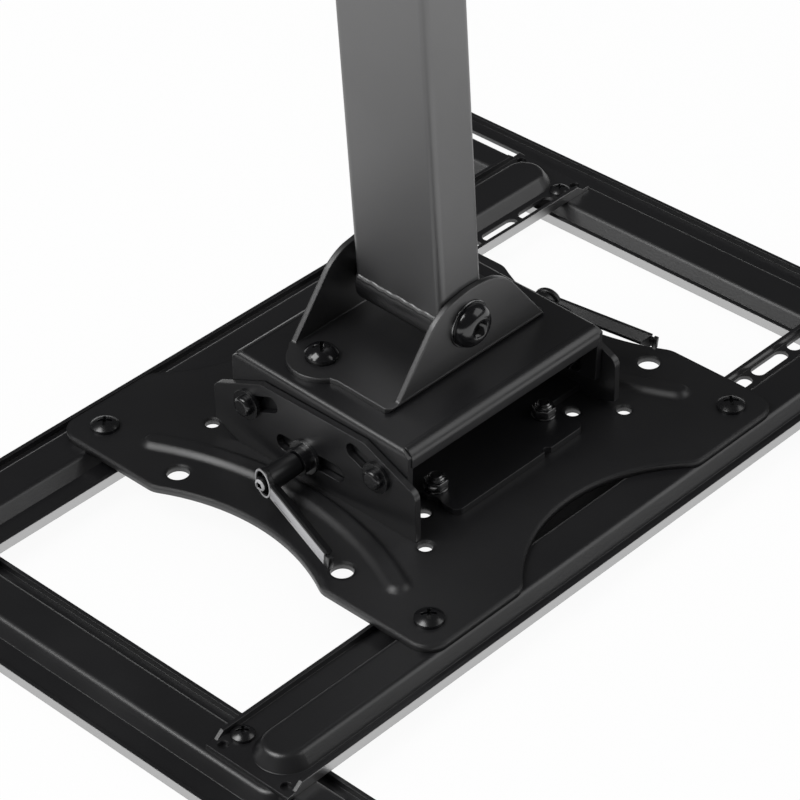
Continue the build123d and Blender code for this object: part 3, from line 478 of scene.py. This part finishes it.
# weld beads where the tube's two long walls meet the barrel, rippled by hand welding
bead = {"halfLength": 18.8, "y": 9.5, "rise": 5.0, "radius": 1.3, "endShare": 0.4, "ripple": 0.045, "ripples": 11,
        "sway": (0.12, 0.08)}
beadHeight = head["pivotMm"] + bead["rise"]
steps = bead["ripples"] * 4
welds = bmesh.new()
for side in (-1, 1):
    centre = Vector((-bead["halfLength"], side * bead["y"], beadHeight)) / 1000
    width = bead["radius"] * bead["endShare"] / 1000
    ring = bmesh.ops.create_circle(welds, cap_ends=True, segments=12, radius=width)["verts"]
    bmesh.ops.rotate(welds, cent=(0, 0, 0), matrix=Matrix.Rotation(math.pi / 2, 3, "Y"), verts=ring)
    bmesh.ops.translate(welds, vec=centre, verts=ring)
    face = ring[0].link_faces[0]
    for i in range(1, steps + 1):
        quick, slow = bead["sway"]  # the hand's drift off the line
        sway = quick * math.sin(i * 0.9) + slow * math.sin(i * 0.37 + side)
        here = Vector((-bead["halfLength"] + 2 * bead["halfLength"] * i / steps,
                       side * bead["y"] + sway * 0.5, beadHeight + sway)) / 1000
        share = bead["endShare"] if i == steps else 1 + bead["ripple"] * math.sin(i * math.pi / 2)
        wanted = bead["radius"] * share / 1000
        ring, (grown,) = thicken(welds, [face], here - centre)
        bmesh.ops.delete(welds, geom=[face], context="FACES_ONLY")
        face = grown
        bmesh.ops.scale(welds, vec=[wanted / width] * 3, space=Matrix.Translation(-here), verts=ring)
        centre, width = here, wanted
bmesh.ops.transform(welds, matrix=poleTurn, verts=welds.verts)
addPiece("poleWeldBeads", welds, poleCoat, "pole")
print("weld beads made")

# the camera, solved from the plate's two squares of holes
cameraSet = {"azimuth": 44.24, "elevation": 36.49, "roll": -1.38, "distanceMm": 1110.0,
             "targetMm": (-11.2, 2.7, 15.3), "focalPixels": 3211.0, "imagePixels": 800.0, "sensorMm": 36.0}
a, e, r = (math.radians(cameraSet[k]) for k in ("azimuth", "elevation", "roll"))
forward = Vector((-math.sin(a) * math.cos(e), math.cos(a) * math.cos(e), -math.sin(e)))
rightLevel = Vector((math.cos(a), math.sin(a), 0.0))
upLevel = rightLevel.cross(forward)
rightRolled = math.cos(r) * rightLevel + math.sin(r) * upLevel
upRolled = -math.sin(r) * rightLevel + math.cos(r) * upLevel
eyeAt = (Vector(cameraSet["targetMm"]) - forward * cameraSet["distanceMm"]) / 1000
cameraData = bpy.data.cameras.new("camera")
cameraData.sensor_width = cameraSet["sensorMm"]
cameraData.lens = cameraSet["sensorMm"] * cameraSet["focalPixels"] / cameraSet["imagePixels"]
cameraData.clip_start, cameraData.clip_end = 0.05, 20.0
camera = bpy.data.objects.new("camera", cameraData)
bpy.context.scene.collection.objects.link(camera)
camera.matrix_world = Matrix.Translation(eyeAt) @ Matrix((rightRolled, upRolled, -forward)).transposed().to_4x4()
bpy.context.scene.camera = camera
bpy.context.scene.view_settings.view_transform = "Standard"
print("camera set")

# lamps (name, place and size in metres, watts): a key lamp over the front, one that runs along the channel's
# bend, and a weak one from the front
studio = {"lamps": [("keyLamp", (-0.5, -1.3, 1.9), 1.2, 22.0), ("bendLamp", (0.98, 0.94, 0.92), 1.1, 4.2),
                    ("frontLamp", (-0.92, -0.98, 0.95), 0.5, 1.6)],
          "worldStrength": 0.55, "roomShine": 0.055, "floorWhite": 0.94, "floorSize": 6.0}
for lampName, place, size, power in studio["lamps"]:
    lampData = bpy.data.lights.new(lampName, "AREA")
    lampData.shape = "SQUARE"
    lampData.size = size
    lampData.energy = power
    lamp = bpy.data.objects.new(lampName, lampData)
    lamp.location = place
    lamp.rotation_mode = "QUATERNION"
    lamp.rotation_quaternion = (Vector((0, 0, 0.05)) - Vector(place)).to_track_quat("-Z", "Y")
    bpy.context.scene.collection.objects.link(lamp)

# the world: plain soft light, white to the camera and dim in reflections, as a dark room round a white table
world = bpy.data.worlds.new("studio")
bpy.context.scene.world = world
world.use_nodes = True
tree = world.node_tree
tree.nodes.clear()
path = node(tree, "ShaderNodeLightPath")
plain, room, white = (node(tree, "ShaderNodeBackground", {"Color": linear("FFFFFF"), "Strength": strength})
                      for strength in (studio["worldStrength"], studio["roomShine"], 1.0))
mirrored = node(tree, "ShaderNodeMixShader", links={0: path.outputs["Is Glossy Ray"], 1: plain.outputs[0],
                                                    2: room.outputs[0]})
seen = node(tree, "ShaderNodeMixShader", links={0: path.outputs["Is Camera Ray"], 1: mirrored.outputs[0],
                                                2: white.outputs[0]})
node(tree, "ShaderNodeOutputWorld", links={"Surface": seen.outputs[0]})

# overexposed white paper: plain white to the camera and in reflections, with a trace of the object's shadow
whitePaperSweep, tree, shader = newMaterial("whitePaperSweep")
shader.inputs["Base Color"].default_value = linear("F4F4F4")
shader.inputs["Roughness"].default_value = 0.7
path = node(tree, "ShaderNodeLightPath")
glow = node(tree, "ShaderNodeEmission", {"Color": linear("FFFFFF"), "Strength": 1.0})
seenOrMirrored = node(tree, "ShaderNodeMath", {"operation": "MAXIMUM"},
                      {0: path.outputs["Is Camera Ray"], 1: path.outputs["Is Glossy Ray"]})
share = node(tree, "ShaderNodeMath", {"operation": "MULTIPLY", 1: studio["floorWhite"]},
             {0: seenOrMirrored.outputs[0]})
paper = node(tree, "ShaderNodeMixShader", links={0: share.outputs[0], 1: shader.outputs[0], 2: glow.outputs[0]})
tree.links.new(paper.outputs[0], tree.nodes["Material Output"].inputs["Surface"])

sweep = bmesh.new()
bmesh.ops.create_grid(sweep, x_segments=1, y_segments=1, size=studio["floorSize"])
floorMesh = bpy.data.meshes.new("floor")
sweep.to_mesh(floorMesh)
sweep.free()
floorMesh.materials.append(whitePaperSweep)
floor = bpy.data.objects.new("floor", floorMesh)
floor.location.z = -0.0002  # just under the rails, so that their faces don't flicker in it
bpy.context.scene.collection.objects.link(floor)
print("lamps and floor set")
